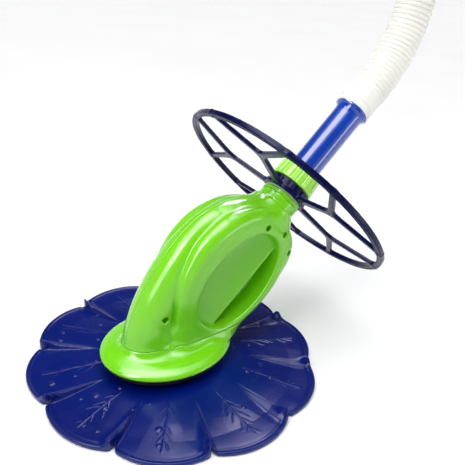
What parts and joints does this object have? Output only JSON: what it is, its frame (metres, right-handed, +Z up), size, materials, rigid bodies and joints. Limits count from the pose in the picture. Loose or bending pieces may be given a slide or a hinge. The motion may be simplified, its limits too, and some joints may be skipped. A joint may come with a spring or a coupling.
{
  "type": "suction pool cleaner",
  "caption": "Suction pool cleaner with a petalled skirt, a hammer-valve casing with a finger grip, a free-turning deflector wheel and a swivelling hose tube.",
  "frame": {"origin": "on the floor at the centre of the skirt, in the plane of the skirt's flat underside", "axes": "+Z up, +X the way the neck leans, and Y across the plane where the two casing halves meet"},
  "size_m": [0.5747, 0.367, 0.626],
  "materials": {
    "casing_green": "glossy",
    "lime_plastic": "glossy",
    "navy_skirt": "glossy flexible sheet",
    "navy_wheel": "satin",
    "blue_tube": "glossy",
    "white_hose": "satin",
    "black_rubber": "matt",
    "black_plastic": "satin",
    "bearing_white": "satin",
    "stainless": "bright"
  },
  "bodies": {
    "body": {"casing_near": "casing_green", "casing_far": "casing_green", "casing_screws": "stainless", "foot": "casing_green", "foot_pad": "black_rubber", "valve_chamber": "black_plastic", "flapper_pin": "stainless", "flapper_bushes": "bearing_white", "skirt_retainer": "black_plastic", "swivel_sleeve": "bearing_white", "neck_collar": "casing_green", "thrust_washer": "bearing_white"},
    "skirt_body": {"skirt": "navy_skirt"},
    "flapper_body": {"flapper": "black_plastic"},
    "wheel_body": {"deflector_wheel": "navy_wheel", "wheel_bush": "bearing_white"},
    "lock_ring_body": {"lock_ring": "lime_plastic"},
    "tube_body": {"swivel_tube": "blue_tube", "tube_seal": "black_rubber", "tube_clip": "stainless", "hose_cuff_lower": "white_hose", "hose": "white_hose", "hose_cuff_upper": "white_hose"}
  },
  "joints": [
    {"name": "skirt_spin", "type": "hinge", "parent": "body", "child": "skirt_body", "pos_m": [0, 0, 0.013], "axis": [0, 0, 1], "continuous": true},
    {"name": "flapper_rock", "type": "hinge", "parent": "body", "child": "flapper_body", "pos_m": [0, 0, 0.056], "axis": [0, 1, 0], "range_deg": [-18, 18]},
    {"name": "wheel_spin", "type": "hinge", "parent": "body", "child": "wheel_body", "pos_m": [0.1638, 0, 0.19878], "axis": [0.7385, 0, 0.6743], "continuous": true},
    {"name": "lock_ring_turn", "type": "hinge", "parent": "body", "child": "lock_ring_body", "pos_m": [0.18241, 0, 0.21578], "axis": [0.7385, 0, 0.6743], "range_deg": [0, 60]},
    {"name": "tube_swivel", "type": "hinge", "parent": "body", "child": "tube_body", "pos_m": [0.19717, 0, 0.22926], "axis": [0.7385, 0, 0.6743], "continuous": true}
  ]
}
